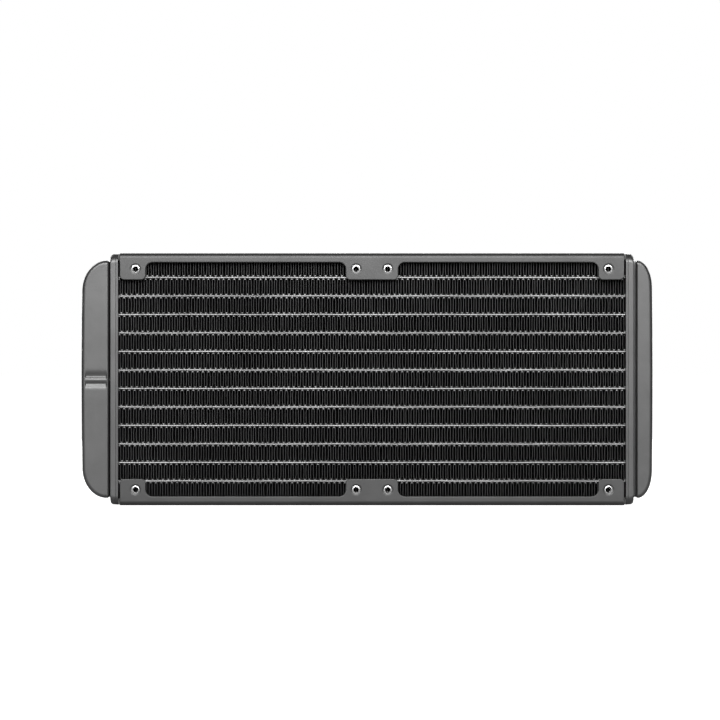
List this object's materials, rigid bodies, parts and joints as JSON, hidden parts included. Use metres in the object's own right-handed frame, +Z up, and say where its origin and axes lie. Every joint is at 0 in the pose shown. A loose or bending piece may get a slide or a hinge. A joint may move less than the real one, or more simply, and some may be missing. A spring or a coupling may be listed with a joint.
{
  "type": "liquid cooling radiator",
  "caption": "Slim black liquid cooling radiator: finned flat-tube core between two end tanks, side rails with tapped fan tabs, and coolant ports in one tank's end.",
  "frame": {"origin": "centre of the overall box in X and Y, at its base in Z", "axes": "X along the length with the inlet tank at -X, Y through the thickness along the air's way, Z up with the part standing on its lower long edge"},
  "size_m": [0.272, 0.027, 0.12],
  "materials": {
    "frame": "satin black powder coat",
    "tank": "satin black powder coat",
    "tube": "thin black paint",
    "fin": "thin black paint",
    "port": "turned, bare"
  },
  "bodies": {
    "root": {"rail_top": "frame", "rail_bottom": "frame", "side_plate_top": "frame", "side_plate_bottom": "frame", "header_inlet": "tank", "header_return": "tank", "tank_inlet": "tank", "tank_return": "tank", "tank_baffle": "tank", "tube_01": "tube", "tube_02": "tube", "tube_03": "tube", "tube_04": "tube", "tube_05": "tube", "tube_06": "tube", "tube_07": "tube", "tube_08": "tube", "tube_09": "tube", "tube_10": "tube", "tube_11": "tube", "tube_12": "tube", "fin_strip_01": "fin", "fin_strip_02": "fin", "fin_strip_03": "fin", "fin_strip_04": "fin", "fin_strip_05": "fin", "fin_strip_06": "fin", "fin_strip_07": "fin", "fin_strip_08": "fin", "fin_strip_09": "fin", "fin_strip_10": "fin", "fin_strip_11": "fin", "fin_strip_12": "fin", "fin_strip_13": "fin", "port_bushing_upper": "port", "port_bushing_lower": "port"}
  },
  "joints": []
}
